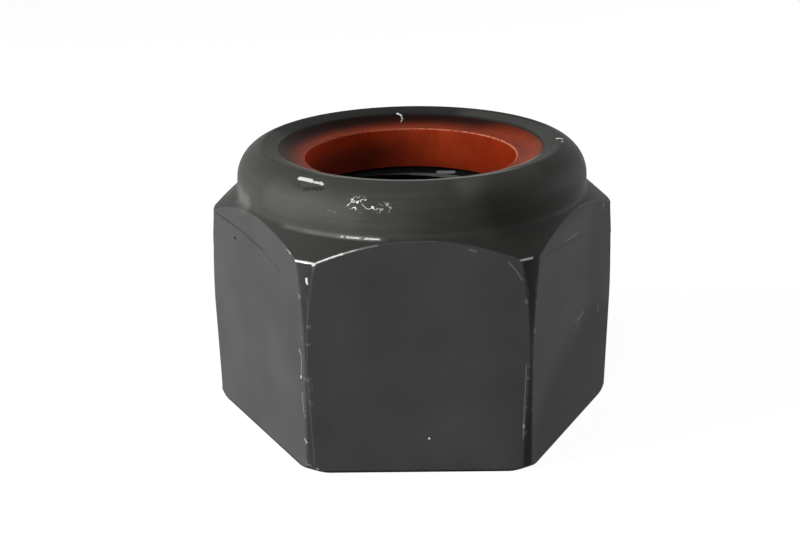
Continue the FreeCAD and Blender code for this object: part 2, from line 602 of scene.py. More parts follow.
def build_shape():
    tree, given, result = new_group("nut_shape", {"Point": VECTOR}, SHAPE_OUTPUTS)
    x, y, height = split(tree, given["Point"])
    radius = diagonal(tree, x, y)
    reaches = []
    for flat_angle in flat_angles[:3]:
        across = (math.cos(flat_angle), math.sin(flat_angle), 0)
        reaches.append(number(tree, "ABSOLUTE", vector(tree, "DOT_PRODUCT", given["Point"], across)))
    flat_gap = number(tree, "SUBTRACT", FLAT / MM, total(tree, "MAXIMUM", reaches))

    def behind(start, end):
        """How far a spot lies behind the line that joins two spots of the turned outline."""
        along = Vector((end[0] - start[0], end[1] - start[1])).normalized()
        offset = (start[0] * along.y - start[1] * along.x) / MM
        outwards = number(tree, "MULTIPLY", radius, along.y)
        upwards = number(tree, "MULTIPLY", height, along.x)
        return number(tree, "SUBTRACT", offset, number(tree, "SUBTRACT", outwards, upwards))

    def inside_round():
        """How far a spot lies inside the round edge of the bearing face."""
        size = BEARING_ROUND / MM
        beside = number(tree, "SUBTRACT", radius, BEARING_RADIUS / MM - size)
        below = number(tree, "SUBTRACT", size, height)
        beside = number(tree, "MAXIMUM", beside, 0.0)
        below = number(tree, "MAXIMUM", below, 0.0)
        return number(tree, "SUBTRACT", size, diagonal(tree, beside, below))

    gaps = [
        inside_round(),
        behind((BEARING_RADIUS, BEARING_ROUND), WAIST),
        behind(WAIST, CORNER_TOP),
        behind(CORNER_TOP, CHAMFER_TOP),
    ]
    turned_gap = total(tree, "MINIMUM", gaps)
    put(tree, result["Flat gap"], flat_gap)
    put(tree, result["Edge"], number(tree, "ABSOLUTE", number(tree, "MAXIMUM", flat_gap, turned_gap)))
    put(tree, result["Radius"], radius)
    put(tree, result["Height"], height)
    return tree


shape_group = build_shape()
print("nodes in the shape group", len(shape_group.nodes))

# %% [markdown]
# A mark is a stroke: it runs from one spot to another, has a half width and a ragged border. A dot is a
# very short stroke. The core is the share of the half width within which a stroke is at its full: half of
# it for a scratch, and none for a mark that fades slowly.

# %% One stroke, and the strongest of many
STROKE_INPUTS = {
    "Point": VECTOR,
    "Start": VECTOR,
    "Run": VECTOR,
    "Half width": NUMBER,
    "Ragged": NUMBER,
    "Core": NUMBER,
}
FIRM = 0.5
SOFT = 0.0


def scaled(tree, value, factor):
    node = add(tree, "ShaderNodeVectorMath", value, operation="SCALE")
    put(tree, node.inputs["Scale"], factor)
    return node.outputs["Vector"]


def build_stroke():
    tree, given, result = new_group("stroke", STROKE_INPUTS, {"Mask": NUMBER})
    away = vector(tree, "SUBTRACT", given["Point"], given["Start"])
    length = vector(tree, "DOT_PRODUCT", given["Run"], given["Run"])
    share = number(tree, "DIVIDE", vector(tree, "DOT_PRODUCT", away, given["Run"]), length)
    share = add(tree, "ShaderNodeClamp", share).outputs[0]
    nearest = scaled(tree, given["Run"], share)
    distance = vector(tree, "LENGTH", vector(tree, "SUBTRACT", away, nearest))
    uneven = number(tree, "MULTIPLY_ADD", given["Ragged"], given["Half width"], distance)
    inner = number(tree, "MULTIPLY", given["Half width"], given["Core"])
    put(tree, result["Mask"], ramp(tree, uneven, given["Half width"], inner))
    return tree


stroke_group = build_stroke()


def strokes(tree, point, ragged, marks, core=FIRM):
    """The strongest of many strokes at a spot."""
    masks = []
    for start, end, half_width, strength in marks:
        run = Vector(end) - Vector(start)
        mask = use(tree, stroke_group, point, start, run, half_width, ragged, core)[0]
        masks.append(number(tree, "MULTIPLY", mask, strength))
    return total(tree, "MAXIMUM", masks)


print("nodes in the stroke group", len(stroke_group.nodes))

# %% [markdown]
# ## The marks on this nut
# Every mark below was seen on the photographed nut, and its place was found on the model. Each line of a
# table gives a start, an end, a half width and a strength. The first tables are bare steel: single marks
# with a ragged border, two of them painted highlights, fine lines, and the worn lengths of the flats' edges
# and of the corners' top edges. The last two of them lie on the collar: the bright core of a painted
# highlight along its foot, and a scuff on its shoulder, a patch of short curled scratches.

# %% Where bare steel shows
BARE_MARKS_AND_HIGHLIGHTS = [
    ((-9.60, -12.95, 27.43), (-8.40, -13.83, 27.36), 0.19, 0.9),
    ((-0.90, 13.36, 27.46), (-0.48, 13.24, 27.24), 0.12, 1.0),
    ((-10.00, -17.75, 19.6), (-9.96, -17.80, 19.1), 0.14, 0.8),
    ((-10.91, -17.10, 12.38), (-10.82, -17.25, 12.1), 0.12, 0.35),
    ((-10.86, -17.20, 9.72), (-10.86, -17.20, 9.66), 0.13, 0.9),
    ((-10.70, -17.47, 3.35), (-10.54, -17.66, 3.10), 0.12, 0.7),
    ((-10.45, -17.60, 0.75), (-9.50, -17.98, 0.45), 0.10, 0.5),
    ((9.75, -18.0, 4.9), (9.74, -18.0, 4.6), 0.12, 0.35),
    # The next two are painted highlights on the right shoulder's outer edge.
    ((14.64, -0.85, 27.88), (15.1, -1.2, 27.84), 0.20, 0.8),
    ((14.90, -2.2, 27.84), (15.0, -2.4, 27.82), 0.16, 0.7),
]
FINE_LINES = [
    ((-10.60, -12.08, 27.45), (-9.50, -12.95, 27.43), 0.27, 1.0),
    ((0.98, -18.0, 3.56), (0.99, -18.0, 3.56), 0.15, 0.75),
    ((-10.74, -17.40, 12.0), (-10.82, -17.25, 9.8), 0.08, 0.30),
    ((-10.82, -17.25, 8.1), (-10.72, -17.44, 6.2), 0.07, 0.30),
    ((9.86, -18.0, 11.0), (9.72, -18.0, 3.4), 0.07, 0.16),
    ((8.05, -18.0, 20.98), (8.72, -18.0, 20.23), 0.07, 0.17),
    ((8.72, -18.0, 20.23), (9.28, -18.0, 19.27), 0.07, 0.15),
    ((-10.30, -17.55, 18.9), (-11.05, -16.85, 17.9), 0.07, 0.16),
]
BARE_EDGES = [
    ((-13.2, -13.2, 21.95), (-12.7, -14.0, 21.6), 0.35, 0.65),
    ((-12.3, -14.7, 21.5), (-11.6, -15.9, 21.2), 0.50, 0.90),
    ((-9.4, -17.94, 21.2), (-6.9, -18.0, 22.0), 0.40, 1.0),
    ((-6.6, -18.0, 22.1), (-5.6, -18.0, 22.35), 0.45, 0.60),
    ((-5.2, -18.0, 22.4), (-3.8, -18.0, 22.5), 0.50, 0.22),
]
CORNER_EDGES = [
    ((-11.6, -15.9, 21.2), (-9.4, -17.8, 21.2), 0.8, 1.0),
    ((9.2, -17.8, 21.25), (10.0, -17.4, 21.25), 0.4, 0.50),
]
# The bright core of the painted highlight along the collar's foot.
FOOT_HIGHLIGHT_CORE = [((-6.6, -16.6, 23.3), (-4.0, -17.45, 23.3), 0.9, 1.0)]
SCUFF = [
    ((-5.6, -16.15, 26.25), (-4.3, -16.72, 26.0), 0.85, 1.0),
    ((-4.3, -16.72, 26.0), (-2.7, -17.08, 25.95), 0.60, 0.45),
]
print("single bare marks", len(BARE_MARKS_AND_HIGHLIGHTS) + len(FINE_LINES))

# %% [markdown]
# Other tables hold rubbed marks, where the coat is burnished, with a few painted highlights among them,
# painted sheen bands on the collar and the painted highlight along its foot. The dark ones are a fine line
# on each side flat, a dark dot on the left one, the painted shadow under the widest scratch, and broad
# patches of painted shade. The last two tables are light spots: a painted glint on the thread's top crest,
# and a scratch that runs from the lip down onto the ring. The back has no picture, so it only gets the wear
# that runs along all edges, and painted shade on the crown's far side.

# %% Rubbed, dark and light places, with painted sheen, highlights and shade
RUBBED_MARKS_AND_HIGHLIGHTS = [
    # The first is a painted glint at the top of the front flat.
    ((4.63, -18.0, 22.2), (5.16, -18.0, 22.0), 0.14, 0.9),
    ((15.76, -8.70, 11.02), (16.83, -6.84, 11.52), 0.22, 0.75),
    ((15.9, -8.45, 10.2), (16.4, -7.6, 10.9), 0.22, 0.5),
    ((19.04, -3.03, 10.2), (19.04, -3.03, 10.7), 0.30, 0.8),
    ((13.74, -12.20, 20.78), (15.69, -8.83, 20.50), 0.20, 0.5),
    # The next two are a painted highlight along the right shoulder's outer edge.
    ((14.76, 1.33, 27.84), (16.06, -0.13, 27.44), 0.16, 0.7),
    ((16.06, -0.13, 27.44), (16.68, -3.82, 26.35), 0.16, 0.6),
    ((19.1, -2.9, 21.0), (19.3, -2.6, 21.5), 0.22, 0.9),
    ((-7.9, -15.6, 25.4), (-7.3, -15.9, 25.3), 0.14, 0.9),
    ((-8.6, -15.2, 26.1), (-8.1, -15.5, 26.05), 0.14, 0.8),
]
# Painted sheen: soft light bands on the collar's left and front left, and on the crown at the front right.
PAINTED_SHEEN_BANDS = [
    ((-13.2, -11.30, 25.6), (-11.50, -13.05, 25.6), 2.3, 0.21),
    ((-11.50, -13.05, 25.6), (-8.67, -15.12, 25.5), 2.3, 0.21),
    ((-8.67, -15.12, 25.5), (-6.2, -16.30, 25.4), 2.3, 0.21),
    ((-16.10, -7.17, 23.7), (-16.9, -4.9, 23.9), 1.6, 0.50),
    ((4.5, -15.5, 27.4), (7.58, -14.33, 27.34), 1.9, 0.40),
    ((7.58, -14.33, 27.34), (10.9, -11.6, 27.5), 1.9, 0.40),
]
# The painted highlight along the collar's foot, as a light band.
FOOT_HIGHLIGHT_BAND = [
    ((-11.6, -13.6, 23.3), (-9.66, -14.98, 23.3), 1.5, 0.45),
    ((-9.66, -14.98, 23.3), (-6.7, -16.6, 23.3), 2.2, 0.70),
    ((-6.7, -16.6, 23.3), (-4.6, -17.3, 23.3), 2.4, 0.95),
]
DARK_MARKS = [
    ((-20.04, -1.29, 20.96), (-16.99, -6.58, 20.75), 0.13, 0.55),
    ((-16.99, -6.58, 20.75), (-14.40, -11.05, 20.1), 0.13, 0.55),
    ((-14.40, -11.05, 20.1), (-12.63, -14.12, 19.0), 0.12, 0.30),
    # The next two are the painted shadow under the widest scratch on the collar.
    ((-11.10, -12.40, 26.95), (-10.06, -13.44, 26.85), 0.28, 0.30),
    ((-10.06, -13.44, 26.85), (-8.50, -14.20, 27.00), 0.26, 0.60),
    ((17.36, -5.93, 19.6), (11.55, -16.0, 20.9), 0.16, 0.25),
]
DARK_DOT = [((-17.74, -5.27, 19.49), (-17.58, -5.55, 19.49), 0.20, 1.0)]
# Broad patches of painted shade: low on the right flat, high near its far corner, on the collar's right side
# and on the crown's far side.
SHADE_PATCHES = [
    ((14.0, -11.5, 1.0), (18.5, -4.0, 5.0), 9.5, 0.64),
    ((19.5, -3.0, 14.0), (19.5, -3.0, 20.0), 5.0, 0.32),
    ((9.5, -15.5, 26.4), (18.0, 1.0, 25.6), 5.2, 0.55),
    ((-12.0, 8.0, 27.8), (-3.0, 14.0, 27.8), 4.5, 0.80),
    ((-3.0, 14.0, 27.8), (3.0, 14.0, 27.8), 4.5, 0.80),
]
# Painted glints on the thread's top crest.
THREAD_HIGHLIGHT_MARKS = [
    ((3.45, 10.10, 21.50), (5.10, 9.58, 21.62), 0.28, 0.85),
    ((0.4, 10.38, 21.2), (3.2, 9.88, 21.2), 0.14, 0.35),
]
RING_SCRATCH = [
    ((-0.46, 13.20, 27.20), (-0.36, 12.85, 26.96), 0.12, 1.0),
    ((-0.36, 12.85, 26.96), (-0.50, 12.40, 26.74), 0.10, 0.9),
]
print("rubbed marks", len(RUBBED_MARKS_AND_HIGHLIGHTS), "dark marks", len(DARK_MARKS), "painted_shade", len(SHADE_PATCHES))

# %% [markdown]
# ## The coat
# The coat isn't the same everywhere. On the flats it is a plain grey, on the chamfer and the corner strips
# it is darker as painted shade, and on the collar and the bearing face it is slightly olive, and a little
# darker as painted shade.

# %% Colours and roughness of the nut
COAT_ON_FLATS = (0.100, 0.100, 0.099, 1)
# The next two are darker as painted shade; the collar's coat is also olive.
SHADED_COAT_ON_CORNERS = (0.060, 0.060, 0.056, 1)
SHADED_OLIVE_COAT = (0.082, 0.083, 0.075, 1)
# Rubbed coat, which is also the colour of the painted sheen and highlights.
RUBBED_COAT_AND_HIGHLIGHT = (0.24, 0.24, 0.23, 1)
# A dark colour for stains and for painted shade.
STAIN_AND_SHADE = (0.022, 0.022, 0.022, 1)
BARE_STEEL = (0.78, 0.77, 0.75, 1)
# The thread's near-black colour, and the colour of its painted glint.
THREAD_DARK = (0.016, 0.018, 0.021, 1)
THREAD_HIGHLIGHT = (0.46, 0.53, 0.53, 1)
COAT_ROUGHNESS = 0.5
BARE_ROUGHNESS = 0.32
DULL_SPECULAR = 0.03

# %% [markdown]
# A few more helpers give a piece its material, find a spot's place in millimetres, and measure how far it is
# from a circle round the axis.

# %% Helpers for the materials
def material_for(piece, name):
    material = bpy.data.materials.new(name)
    material.use_nodes = True
    piece.data.materials.clear()
    piece.data.materials.append(material)
    tree = material.node_tree
    return tree, tree.nodes["Principled BSDF"].inputs


def millimetres(tree):
    place = tree.nodes.new("ShaderNodeTexCoord").outputs["Object"]
    return scaled(tree, place, 1 / MM)


def product(tree, *masks):
    return total(tree, "MULTIPLY", masks)


def near_circle(tree, spot, circle_radius, circle_height):
    """How far a spot is from a circle round the nut's axis."""
    beside = number(tree, "SUBTRACT", spot.radius, circle_radius)
    above = number(tree, "SUBTRACT", spot.height, circle_height)
    return diagonal(tree, beside, above)


# %% [markdown]
# The masks share what they need to know about a spot: where it is, how far from the edges, and the values
# of a few noises there. The turned faces also carry fine rings from the lathe. They come from a noise that
# changes fast with radius and height and slowly round the axis.

# %% What the nut's masks know about a spot
RINGS_PER_MM = 3.5
RING_DRIFT = 1.6
LATHE_NOISE = (1.0, 2.0, 0.6)
FINE_NOISE = (2.6, 3.0, 0.6)
BROAD_NOISE = (0.16, 1.0)
CHIP_NOISE = (0.9, 2.0, 0.6)
NOISE_MIDDLE = 0.5
RAGGEDNESS = 2.4
COLLAR_BEGINS = (CHAMFER_TOP[1] / MM - 0.1, CHAMFER_TOP[1] / MM + 0.3)
BEARING_FACE = (0.10, 0.02)


class NutSpot:
    """The place of a spot on the nut, its gaps to the edges, and the noises there."""

    def __init__(self, tree):
        self.point = millimetres(tree)
        self.x, self.y, _ = split(tree, self.point)
        self.flat_gap, self.edge, self.radius, self.height = use(tree, shape_group, self.point)
        self.fine = noise(tree, self.point, *FINE_NOISE)
        self.broad = noise(tree, self.point, *BROAD_NOISE)
        self.chipped = noise(tree, self.point, *CHIP_NOISE)
        self.ragged = number(tree, "MULTIPLY_ADD", self.fine, RAGGEDNESS, -RAGGEDNESS / 2)
        self.rings = self.lathe_rings(tree)
        collar = ramp(tree, self.height, *COLLAR_BEGINS)
        self.turned = number(tree, "MAXIMUM", collar, ramp(tree, self.height, *BEARING_FACE))

    def lathe_rings(self, tree):
        flat_point = vector(tree, "MULTIPLY", self.point, (1, 1, 0))
        round_x, round_y, _ = split(tree, vector(tree, "NORMALIZE", flat_point))
        along_radius = number(tree, "MULTIPLY", self.radius, RINGS_PER_MM)
        place = add(
            tree, "ShaderNodeCombineXYZ",
            number(tree, "MULTIPLY_ADD", round_x, RING_DRIFT, along_radius),
            number(tree, "MULTIPLY", round_y, RING_DRIFT),
            number(tree, "MULTIPLY", self.height, RINGS_PER_MM),
        )
        return noise(tree, place.outputs[0], *LATHE_NOISE)


# %% [markdown]
# The coat's colour comes first, with all that is rubbed, stained or dark, and the painted sheen, highlights
# and shade. A pair of numbers says where a mask is gone and where it is full, and a circle is its radius and
# its height. The painted highlight at the collar's foot follows a circle in the hollow there.

# %% The coat, rubbed, stained and dark, with painted sheen, highlights and shade
OFF_THE_FLATS = (0.01, 0.12)
COAT_LEVEL = 0.68
FINE_MOTTLE = 0.14
BROAD_MOTTLE = 0.5
RING_STREAKS = 0.5
# The circle along which the painted highlight at the collar's foot runs.
FOOT_HIGHLIGHT_CIRCLE = (COLLAR_RADIUS / MM + 0.29, COLLAR_SIDE[0] / MM - 0.62)
FOOT_HIGHLIGHT_WIDTH = (0.36, 0.06)
RUBBED_RINGS = (0.3, 0.6)
# Painted shade along the bearing edge.
BEARING_SHADE_REACH = (0.34, 0.10)
BEARING_FACE_ENDS = (0.005, 0.03)
BEARING_SHADE = 0.9


def coat_colour(tree, spot):
    coat = blend(tree, ramp(tree, spot.flat_gap, *OFF_THE_FLATS), COAT_ON_FLATS, SHADED_COAT_ON_CORNERS)
    coat = blend(tree, spot.turned, coat, SHADED_OLIVE_COAT)
    even = number(tree, "MULTIPLY_ADD", spot.fine, FINE_MOTTLE, COAT_LEVEL)
    mottle = number(tree, "MULTIPLY_ADD", spot.broad, BROAD_MOTTLE, even)
    swing = number(tree, "SUBTRACT", spot.rings, NOISE_MIDDLE)
    streaks = number(tree, "MULTIPLY_ADD", swing, number(tree, "MULTIPLY", spot.turned, RING_STREAKS), 1.0)
    coat = scaled(tree, coat, product(tree, mottle, streaks))

    coat = blend(tree, strokes(tree, spot.point, 0.0, PAINTED_SHEEN_BANDS, SOFT), coat, RUBBED_COAT_AND_HIGHLIGHT)
    foot = ramp(tree, near_circle(tree, spot, *FOOT_HIGHLIGHT_CIRCLE), *FOOT_HIGHLIGHT_WIDTH)
    foot_highlight = product(tree, foot, strokes(tree, spot.point, 0.0, FOOT_HIGHLIGHT_BAND, SOFT))
    coat = blend(tree, foot_highlight, coat, RUBBED_COAT_AND_HIGHLIGHT)
    # Painted shade in broad patches.
    coat = blend(tree, strokes(tree, spot.point, 0.0, SHADE_PATCHES), coat, STAIN_AND_SHADE)
    rubbed_and_highlights = strokes(tree, spot.point, spot.ragged, RUBBED_MARKS_AND_HIGHLIGHTS)
    rubbed_and_highlights = product(tree, rubbed_and_highlights, ramp(tree, spot.rings, *RUBBED_RINGS))
    coat = blend(tree, rubbed_and_highlights, coat, RUBBED_COAT_AND_HIGHLIGHT)
    dark = strokes(tree, spot.point, spot.ragged, DARK_MARKS)
    dark = number(tree, "MAXIMUM", dark, strokes(tree, spot.point, 0.0, DARK_DOT))
    coat = blend(tree, dark, coat, STAIN_AND_SHADE)
    # Painted shade along the bearing edge, which stops short of the bearing face.
    bearing_shade = ramp(tree, spot.height, *BEARING_SHADE_REACH)
    bearing_shade = product(tree, bearing_shade, ramp(tree, spot.height, *BEARING_FACE_ENDS))
    return blend(tree, number(tree, "MULTIPLY", bearing_shade, BEARING_SHADE), coat, STAIN_AND_SHADE)


# %% [markdown]
# The lip's thin end is painted dark all round, as shade. In front the lip's edge and the crown get a thin
# painted highlight line. Behind, the crown's far side is painted dark, as shade.

# %% The lip and the crown
# The lip's end and the crown's far side get painted shade; the lip's edge and the crown get a painted
# highlight line in front.
LIP_END_SHADE = (LIP[0] / MM + 0.16, LIP[0] / MM + 0.04)
LIP_END_SHADE_ABOVE = (RING_TOP / MM - 0.3, RING_TOP / MM)
LIP_HIGHLIGHT_CIRCLE = (LIP[0] / MM + 0.30, LIP[1] / MM + 0.08)
LIP_HIGHLIGHT_WIDTH = (0.26, 0.10)
LIP_HIGHLIGHT_FRONT = (-5.0, -8.5)
CROWN_HIGHLIGHT_CIRCLE = (14.9, TOP / MM - 0.13)
CROWN_HIGHLIGHT_WIDTH = (0.32, 0.12)
CROWN_HIGHLIGHT_FRONT = (-11.0, -13.8)
FAR_SIDE_SHADE = (14.5, 14.8)
FAR_SIDE_SHADE_BACK = (2.0, 7.0)
FAR_SIDE_SHADE_ABOVE = (27.2, 27.5)
LIP_SHADE_STRENGTH = 0.85


def lip_colour(tree, spot, coat):
    """Gives the coat with the lip's painted shade, and the mask of the painted highlight line."""
    lip_end_shade = product(tree, ramp(tree, spot.radius, *LIP_END_SHADE), ramp(tree, spot.height, *LIP_END_SHADE_ABOVE))
    coat = blend(tree, number(tree, "MULTIPLY", lip_end_shade, LIP_SHADE_STRENGTH), coat, STAIN_AND_SHADE)
    rim_highlight = ramp(tree, near_circle(tree, spot, *LIP_HIGHLIGHT_CIRCLE), *LIP_HIGHLIGHT_WIDTH)
    rim_highlight = product(tree, rim_highlight, ramp(tree, spot.y, *LIP_HIGHLIGHT_FRONT))
    crown_highlight = ramp(tree, near_circle(tree, spot, *CROWN_HIGHLIGHT_CIRCLE), *CROWN_HIGHLIGHT_WIDTH)
    crown_highlight = product(tree, crown_highlight, ramp(tree, spot.y, *CROWN_HIGHLIGHT_FRONT))
    # line is the painted highlight on the lip's edge and the crown, in front.
    line = number(tree, "MAXIMUM", rim_highlight, crown_highlight)
    # behind is painted shade on the crown's far side.
    behind = product(
        tree,
        ramp(tree, spot.radius, *FAR_SIDE_SHADE),
        ramp(tree, spot.y, *FAR_SIDE_SHADE_BACK),
        ramp(tree, spot.height, *FAR_SIDE_SHADE_ABOVE),
    )
    coat = blend(tree, number(tree, "MULTIPLY", behind, LIP_SHADE_STRENGTH), coat, STAIN_AND_SHADE)
    return blend(tree, line, coat, RUBBED_COAT_AND_HIGHLIGHT), line


# %% [markdown]
# Bare steel comes next. Worn edges are thin lines on the hexagon's edges that show only inside the strokes
# of their tables. Faint chips lie along every edge. The scuff's scratches are the thin lines where a noise
# crosses its middle value, which gives curls.

# %% Where the coat is gone
EDGE_WOBBLE = 0.05
WORN_EDGE = (0.13, 0.04)
CORNER_CIRCLE = (CORNER_TOP[0] / MM, CORNER_TOP[1] / MM)
WORN_CORNER = (0.16, 0.06)
CHIP_PLACES = (0.57, 0.68)
CHIP_WIDTH = (0.07, 0.02)
CHIP_STRENGTH = 0.13
# The next three shape the bright core of the painted highlight at the collar's foot.
HIGHLIGHT_CORE_WOBBLE = 0.06
HIGHLIGHT_CORE_WIDTH = (0.15, 0.04)
HIGHLIGHT_CORE_GAPS = (0.40, 0.54)
CURL_NOISE = (1.5, 1.0)
CURL_WIDTH = (0.032, 0.008)
CURL_GAPS = (0.36, 0.52)


def bare_steel(tree, spot):
    def worn(distance, wobble, reach):
        return ramp(tree, number(tree, "MULTIPLY_ADD", spot.ragged, wobble, distance), *reach)

    def marked(marks, ragged=0.0):
        return strokes(tree, spot.point, ragged, marks)

    edges = product(tree, worn(spot.edge, EDGE_WOBBLE, WORN_EDGE), marked(BARE_EDGES))
    corner = near_circle(tree, spot, *CORNER_CIRCLE)
    corners = product(tree, worn(corner, EDGE_WOBBLE, WORN_CORNER), marked(CORNER_EDGES))
    chips = product(tree, ramp(tree, spot.edge, *CHIP_WIDTH), ramp(tree, spot.chipped, *CHIP_PLACES))
    chips = number(tree, "MULTIPLY", chips, CHIP_STRENGTH)
    # The bright core of the painted highlight at the collar's foot is drawn as bare steel.
    foot = near_circle(tree, spot, *FOOT_HIGHLIGHT_CIRCLE)
    core = product(tree, worn(foot, HIGHLIGHT_CORE_WOBBLE, HIGHLIGHT_CORE_WIDTH), marked(FOOT_HIGHLIGHT_CORE))
    core = product(tree, core, ramp(tree, spot.fine, *HIGHLIGHT_CORE_GAPS))
    curls = number(tree, "SUBTRACT", noise(tree, spot.point, *CURL_NOISE), NOISE_MIDDLE)
    curls = ramp(tree, number(tree, "ABSOLUTE", curls), *CURL_WIDTH)
    scuff = product(tree, curls, marked(SCUFF), ramp(tree, spot.fine, *CURL_GAPS))
    single = marked(BARE_MARKS_AND_HIGHLIGHTS, spot.ragged)
    return total(tree, "MAXIMUM", [edges, corners, chips, core, scuff, single, marked(FINE_LINES)])


# %% [markdown]
# In the bore the thread is darkened to near black. Only its crests are metal, with painted light that grows
# towards the right, and a short length of the top one has a painted glint.

# %% The thread's colour
BORE_WALL = (12.9, 12.7)
BELOW_THE_SEAT = (SEAT / MM + 0.05, SEAT / MM)
CREST_SKIN = (THREAD_CREST / MM + 0.1, THREAD_CREST / MM + 0.05)
CREST_LIGHT_FROM = (-5.0, 4.0)
CREST_SHINE = 0.4
THREAD_HIGHLIGHT_METAL = 0.2


def thread_colour(tree, spot, coat):
    """Gives the coat with the thread's dark colour and painted glint, and the mask of what is metal there.
    """
    threaded = product(tree, ramp(tree, spot.radius, *BORE_WALL), ramp(tree, spot.height, *BELOW_THE_SEAT))
    coat = blend(tree, threaded, coat, THREAD_DARK)
    thread_highlight = strokes(tree, spot.point, 0.0, THREAD_HIGHLIGHT_MARKS)
    coat = blend(tree, thread_highlight, coat, THREAD_HIGHLIGHT)
    crest = product(tree, ramp(tree, spot.radius, *CREST_SKIN), threaded)
    # The crests' metal grows towards the right, as painted light.
    crest = product(tree, crest, ramp(tree, spot.x, *CREST_LIGHT_FROM))
    crest = number(tree, "MULTIPLY", crest, CREST_SHINE)
    return coat, number(tree, "MAXIMUM", crest, number(tree, "MULTIPLY", thread_highlight, THREAD_HIGHLIGHT_METAL))


# %% [markdown]
# Last, the masks meet in one shader. Bare steel is metal and a little smoother than the coat. The fine
# noise and the lathe's rings also give a faint relief, with a strength and a depth.

# %% The coated steel
HIGHLIGHT_SHINE = 0.15
ROUGHNESS_NOISE = 0.16
FINE_RELIEF = 0.3
RING_RELIEF = 0.35
COAT_BUMP = (0.35, 0.05 * MM)


def add_relief(tree, shader, height, strength, distance):
    bump = tree.nodes.new("ShaderNodeBump")
    put(tree, bump.inputs["Height"], height)
    bump.inputs["Strength"].default_value = strength
    bump.inputs["Distance"].default_value = distance
    put(tree, shader["Normal"], bump.outputs[0])


def coat_the_nut():
    tree, shader = material_for(nut, "coated_steel")
    spot = NutSpot(tree)
    coat, line = lip_colour(tree, spot, coat_colour(tree, spot))
    coat, shine = thread_colour(tree, spot, coat)
    # The lip's painted highlight line also adds a little metal.
    bare = number(tree, "MAXIMUM", bare_steel(tree, spot), number(tree, "MULTIPLY", line, HIGHLIGHT_SHINE))
    metal = number(tree, "MAXIMUM", bare, shine)
    put(tree, shader["Base Color"], blend(tree, metal, coat, BARE_STEEL))
    put(tree, shader["Metallic"], metal)
    rough = number(tree, "MULTIPLY_ADD", metal, BARE_ROUGHNESS - COAT_ROUGHNESS, COAT_ROUGHNESS)
    uneven = number(tree, "MULTIPLY_ADD", spot.fine, ROUGHNESS_NOISE, -ROUGHNESS_NOISE / 2)
    put(tree, shader["Roughness"], number(tree, "ADD", rough, uneven))
    shader["Specular IOR Level"].default_value = DULL_SPECULAR
    rings = number(tree, "MULTIPLY", product(tree, spot.rings, spot.turned), RING_RELIEF)
    add_relief(tree, shader, number(tree, "MULTIPLY_ADD", spot.fine, FINE_RELIEF, rings), *COAT_BUMP)
    return len(tree.nodes)


print("nodes in the nut's material", coat_the_nut())

# %% [markdown]
# ## The ring's plastic
# The plastic is a deep orange red with a satin skin, and a slow noise makes its colour uneven. The wall of
# the hole is painted a darker red than the dish on top, as shade, except in front and behind, where it is
# painted brighter, as light.

# %% The ring's colours
RING_FACE = (0.42, 0.055, 0.012, 1)
# The wall's two colours are painted shade and painted light.
RING_WALL_SHADED = (0.36, 0.034, 0.008, 1)
RING_WALL_LIT = (0.50, 0.060, 0.016, 1)
# The colour of the painted highlight along the hole's top edge.
RING_EDGE_HIGHLIGHT = (0.90, 0.32, 0.20, 1)
RING_DARK = (0.20, 0.018, 0.005, 1)
# The next two colours are painted shade: under the lip, and low on the wall.
RING_SHADE_UNDER_LIP = (0.012, 0.007, 0.006, 1)
RING_LOW_WALL_SHADE = (0.060, 0.018, 0.014, 1)
SCRATCH_LIGHT = (0.72, 0.71, 0.69, 1)
UNEVEN_NOISE = (0.35, 3.0, 0.6)
UNEVEN = (0.35, 0.7)
UNEVEN_STRENGTH = 0.4
FINE_PLASTIC_NOISE = (3.0, 2.0)
TOP_FACE = (RING_TOP / MM - 0.12, RING_TOP / MM - 0.03)
WALL_LIT_X = 1.0
WALL_LIT_WIDTH = (8.0, 1.5)


class RingSpot:
    """The place of a spot on the ring, and the fine noise there."""

    def __init__(self, tree):
        self.point = millimetres(tree)
        self.x, _, self.height = split(tree, self.point)
        self.radius = vector(tree, "LENGTH", vector(tree, "MULTIPLY", self.point, (1, 1, 0)))
        self.fine = noise(tree, self.point, *FINE_PLASTIC_NOISE)


def plastic_colour(tree, spot):
    """Gives the plastic's own colour, and the mask of the top face."""
    beside = number(tree, "ABSOLUTE", number(tree, "SUBTRACT", spot.x, WALL_LIT_X))
    colour = blend(tree, ramp(tree, beside, *WALL_LIT_WIDTH), RING_WALL_SHADED, RING_WALL_LIT)
    top = ramp(tree, spot.height, *TOP_FACE)
    colour = blend(tree, top, colour, RING_FACE)
    uneven = ramp(tree, noise(tree, spot.point, *UNEVEN_NOISE), *UNEVEN)
    return blend(tree, number(tree, "MULTIPLY", uneven, UNEVEN_STRENGTH), colour, RING_DARK), top


# %% [markdown]
# Painted shade comes over the plastic. On the dish it darkens the part under the lip, from a radius that
# moves outwards on the right, where more light falls. On the wall it lies low down on the left.

# %% Painted shade on the ring
LESS_SHADE_RIGHT = (6.5, 12.5)
LESS_SHADE_BY = 1.1
MORE_SHADE_LEFT = (-1.0, -7.0)
MORE_SHADE_BY = 0.15
SHADE_WOBBLE = 0.3
SHADE_UNDER_LIP = (11.15, 13.05)
SHADE_UNDER_LIP_STRENGTH = 0.97
WALL_SHADE_BELOW = (25.9, 23.6)
WALL_SHADE_LEFT = (1.5, -5.0)
WALL_SHADE_STRENGTH = 0.62


